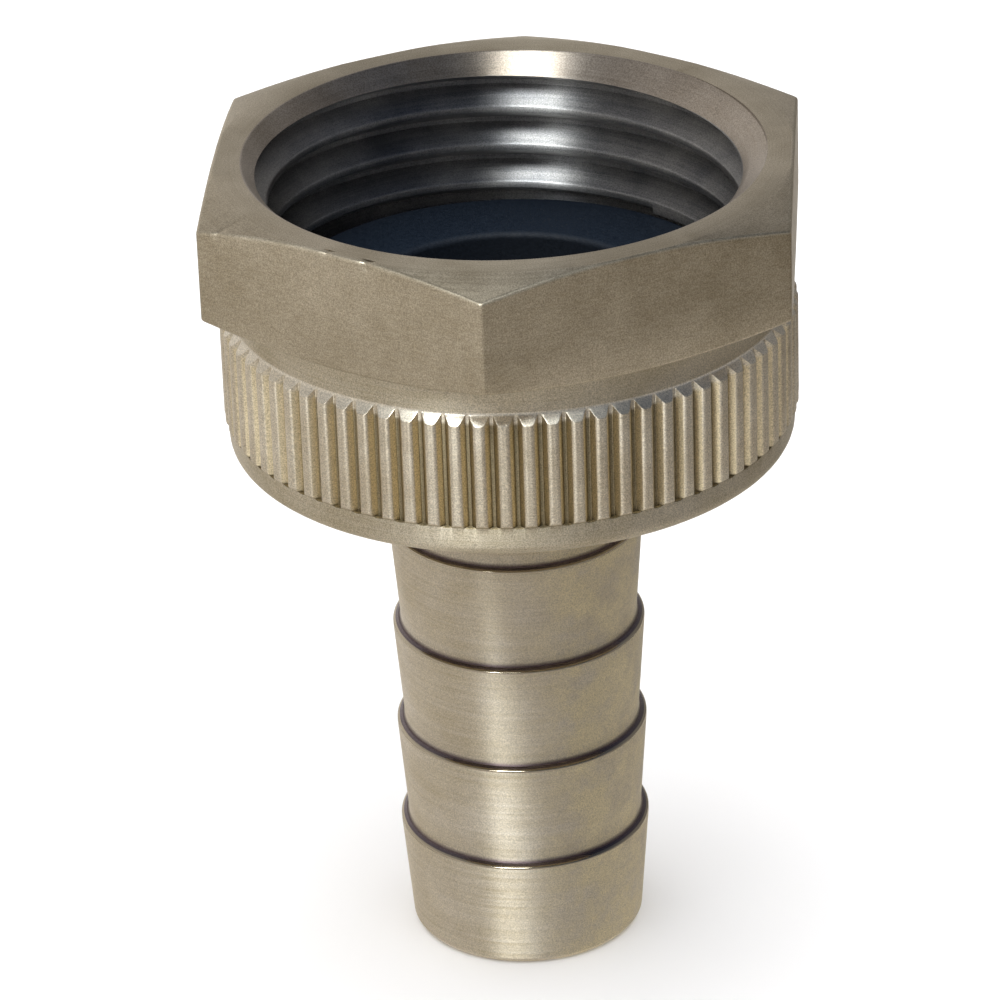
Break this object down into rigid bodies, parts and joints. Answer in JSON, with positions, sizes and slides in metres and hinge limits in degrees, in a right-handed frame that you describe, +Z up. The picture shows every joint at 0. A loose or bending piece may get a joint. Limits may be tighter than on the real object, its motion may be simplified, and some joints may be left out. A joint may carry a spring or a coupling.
{
  "type": "hose barb swivel fitting",
  "caption": "Barbed hose stem with a loose hexagonal and knurled swivel nut that holds an internal garden hose thread and a rubber washer.",
  "frame": {"origin": "centre of the stem's lower end face, on the common axis", "axes": "+Z up the common axis, from the hose end to the threaded mouth of the nut; one corner of the hexagon points to -Y"},
  "size_m": [0.0304, 0.0348, 0.0455],
  "materials": {
    "stem_steel": "turned stainless steel, fine circumferential lay, satin",
    "nut_steel": "machined stainless steel, satin flats, turned collar, straight knurl",
    "washer_rubber": "moulded black rubber, matt"
  },
  "bodies": {
    "stem": {"barbed_stem": "stem_steel"},
    "washer": {"hose_washer": "washer_rubber"},
    "nut": {"swivel_nut": "nut_steel"}
  },
  "joints": [
    {"name": "nut_float", "type": "slide", "parent": "stem", "child": "washer", "axis": [0, 0, 1], "range_m": [0, 0.001]},
    {"name": "nut_swivel", "type": "hinge", "parent": "washer", "child": "nut", "pos_m": [0, 0, 0.0375], "axis": [0, 0, 1], "continuous": true}
  ]
}
